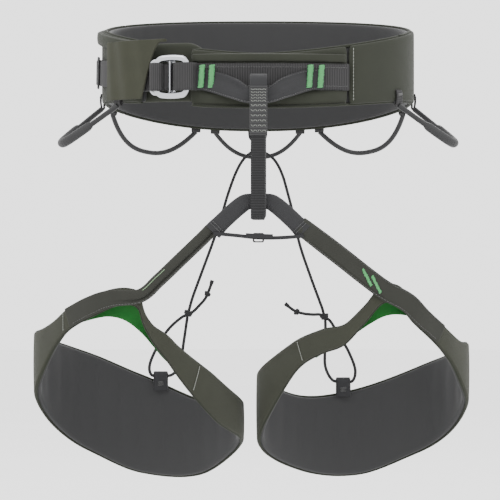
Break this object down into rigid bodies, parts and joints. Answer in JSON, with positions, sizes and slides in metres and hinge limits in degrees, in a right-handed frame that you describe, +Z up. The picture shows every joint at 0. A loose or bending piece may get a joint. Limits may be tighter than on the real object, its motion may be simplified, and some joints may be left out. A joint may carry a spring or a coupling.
{
  "type": "climbing sit harness",
  "caption": "Padded sport-climbing sit harness: waist belt with a two-plate buckle, belay loop, padded leg loops on risers, drop-seat elastics and gear loops.",
  "frame": {"origin": "centre of the waist opening, halfway up the load webbing's side of the belt", "axes": "+Z up, -Y the way the wearer faces, -X the wearer's right hand"},
  "size_m": [0.4154, 0.2536, 0.4507],
  "materials": {
    "olive_fabric": "fine woven, matt",
    "lining_fabric": "brushed knit, soft sheen",
    "foam": "closed-cell foam",
    "grey_webbing": "ribbed webbing",
    "belay_webbing": "ribbed webbing, sewn",
    "sleeve_fabric": "plain woven sleeve",
    "green_thread": "dense satin stitch",
    "green_lining": "brushed",
    "forged_aluminium": "satin forged",
    "black_cord": "braided elastic",
    "gear_loop_cord": "cord in a smooth sheath",
    "moulded_grip": "soft moulded",
    "black_plastic": "moulded"
  },
  "bodies": {
    "waist": {"belt_lining": "lining_fabric", "belt_foam": "foam", "belt_load_webbing": "grey_webbing", "belt_front_cover": "olive_fabric", "belt_edge_roll": "olive_fabric", "belt_left_panel": "olive_fabric", "belt_back_cover": "olive_fabric", "belt_right_panel": "olive_fabric", "belt_webbing": "grey_webbing", "belt_tongue": "olive_fabric", "belt_keeper": "olive_fabric", "webbing_tail": "grey_webbing", "tail_elastic": "black_cord", "waist_bartacks": "green_thread", "tie_in_sleeve": "sleeve_fabric", "gear_loop_tabs": "grey_webbing", "seat_anchor_loop": "grey_webbing", "buckle_anchor_webbing": "grey_webbing", "buckle_rear_frame": "forged_aluminium"},
    "buckle": {"buckle_frame": "forged_aluminium", "buckle_webbing": "grey_webbing"},
    "belay_loop": {"belay_loop": "belay_webbing", "belay_stitching": "belay_webbing"},
    "leg_bridge": {"bridge_sleeve": "sleeve_fabric", "bridge_core": "grey_webbing", "cross_strap": "grey_webbing", "cross_strap_slider": "black_plastic"},
    "seat_hook": {"seat_hook": "black_plastic"},
    "right_cord": {"right_seat_cord": "black_cord"},
    "left_cord": {"left_seat_cord": "black_cord"},
    "front_right_gear": {"front_right_gear_tape": "grey_webbing", "front_right_gear_grip": "moulded_grip"},
    "front_left_gear": {"front_left_gear_tape": "grey_webbing", "front_left_gear_grip": "moulded_grip"},
    "rear_right_gear": {"rear_right_gear_loop": "gear_loop_cord"},
    "rear_left_gear": {"rear_left_gear_loop": "gear_loop_cord"},
    "haul": {"haul_loop": "gear_loop_cord"},
    "right_leg": {"right_riser": "grey_webbing", "right_leg_shell": "olive_fabric", "right_leg_foam": "foam", "right_leg_lining": "lining_fabric", "right_gusset": "green_lining", "right_cord_tab": "grey_webbing", "right_cord_loop": "black_cord", "right_slip_knot": "black_cord", "right_cord_tail": "black_cord", "right_tail_knot": "black_cord", "right_leg_bartacks": "green_thread"},
    "left_leg": {"left_riser": "grey_webbing", "left_leg_shell": "olive_fabric", "left_leg_foam": "foam", "left_leg_lining": "lining_fabric", "left_gusset": "green_lining", "left_cord_tab": "grey_webbing", "left_cord_loop": "black_cord", "left_slip_knot": "black_cord", "left_cord_tail": "black_cord", "left_tail_knot": "black_cord", "left_leg_bartacks": "green_thread"}
  },
  "joints": [
    {"name": "buckle_lift", "type": "hinge", "parent": "waist", "child": "buckle", "pos_m": [-0.09495, -0.09312, -0.0075], "axis": [0, 0, -1], "range_deg": [0, 40]},
    {"name": "belay_loop_swing", "type": "hinge", "parent": "waist", "child": "belay_loop", "pos_m": [0, -0.1243, -0.021], "axis": [1, 0, 0], "range_deg": [-25, 15]},
    {"name": "leg_bridge_swing", "type": "hinge", "parent": "belay_loop", "child": "leg_bridge", "pos_m": [0, -0.1243, -0.124], "axis": [1, 0, 0], "range_deg": [-17, 27]},
    {"name": "right_leg_sway", "type": "hinge", "parent": "leg_bridge", "child": "right_leg", "pos_m": [-0.042, -0.1157, -0.149], "axis": [0, 1, 0], "range_deg": [0, 15]},
    {"name": "left_leg_sway", "type": "hinge", "parent": "leg_bridge", "child": "left_leg", "pos_m": [0.042, -0.1157, -0.149], "axis": [0, -1, 0], "range_deg": [0, 15]},
    {"name": "seat_hook_swing", "type": "hinge", "parent": "waist", "child": "seat_hook", "pos_m": [0, 0.102, -0.057], "axis": [1, 0, 0], "range_deg": [-16, 10]},
    {"name": "right_cord_sway", "type": "hinge", "parent": "seat_hook", "child": "right_cord", "pos_m": [-0.004, 0.102, -0.0676], "axis": [0, 1, 0], "range_deg": [0, 9]},
    {"name": "left_cord_sway", "type": "hinge", "parent": "seat_hook", "child": "left_cord", "pos_m": [0.004, 0.102, -0.0676], "axis": [0, -1, 0], "range_deg": [0, 9]},
    {"name": "front_left_gear_flex", "type": "hinge", "parent": "waist", "child": "front_left_gear", "pos_m": [0.13171, -0.05762, -0.03162], "axis": [0.2746, 0.9615, 0.004], "range_deg": [-30, 30], "stiffness_Nm_per_rad": 0.06},
    {"name": "front_right_gear_flex", "type": "hinge", "parent": "waist", "child": "front_right_gear", "pos_m": [-0.13171, -0.05762, -0.03162], "axis": [0.2746, -0.9615, -0.004], "range_deg": [-30, 30], "stiffness_Nm_per_rad": 0.06},
    {"name": "rear_left_gear_swing", "type": "hinge", "parent": "waist", "child": "rear_left_gear", "pos_m": [0.14186, 0.04204, -0.03495], "axis": [0.8181, -0.5574, 0.1414], "range_deg": [-10, 60]},
    {"name": "rear_right_gear_swing", "type": "hinge", "parent": "waist", "child": "rear_right_gear", "pos_m": [-0.14186, 0.04204, -0.03495], "axis": [0.8181, 0.5574, -0.1414], "range_deg": [-10, 60]},
    {"name": "haul_loop_swing", "type": "hinge", "parent": "waist", "child": "haul", "pos_m": [-0.0425, 0.10013, -0.04982], "axis": [1, 0, 0], "range_deg": [0, 60]}
  ],
  "couplings": [
    {"joint": "leg_bridge_swing", "follows": "belay_loop_swing", "ratio": -1.037},
    {"joint": "seat_hook_swing", "follows": "belay_loop_swing", "ratio": 0.571},
    {"joint": "right_cord_sway", "follows": "right_leg_sway", "ratio": 0.487},
    {"joint": "left_cord_sway", "follows": "left_leg_sway", "ratio": 0.487}
  ]
}
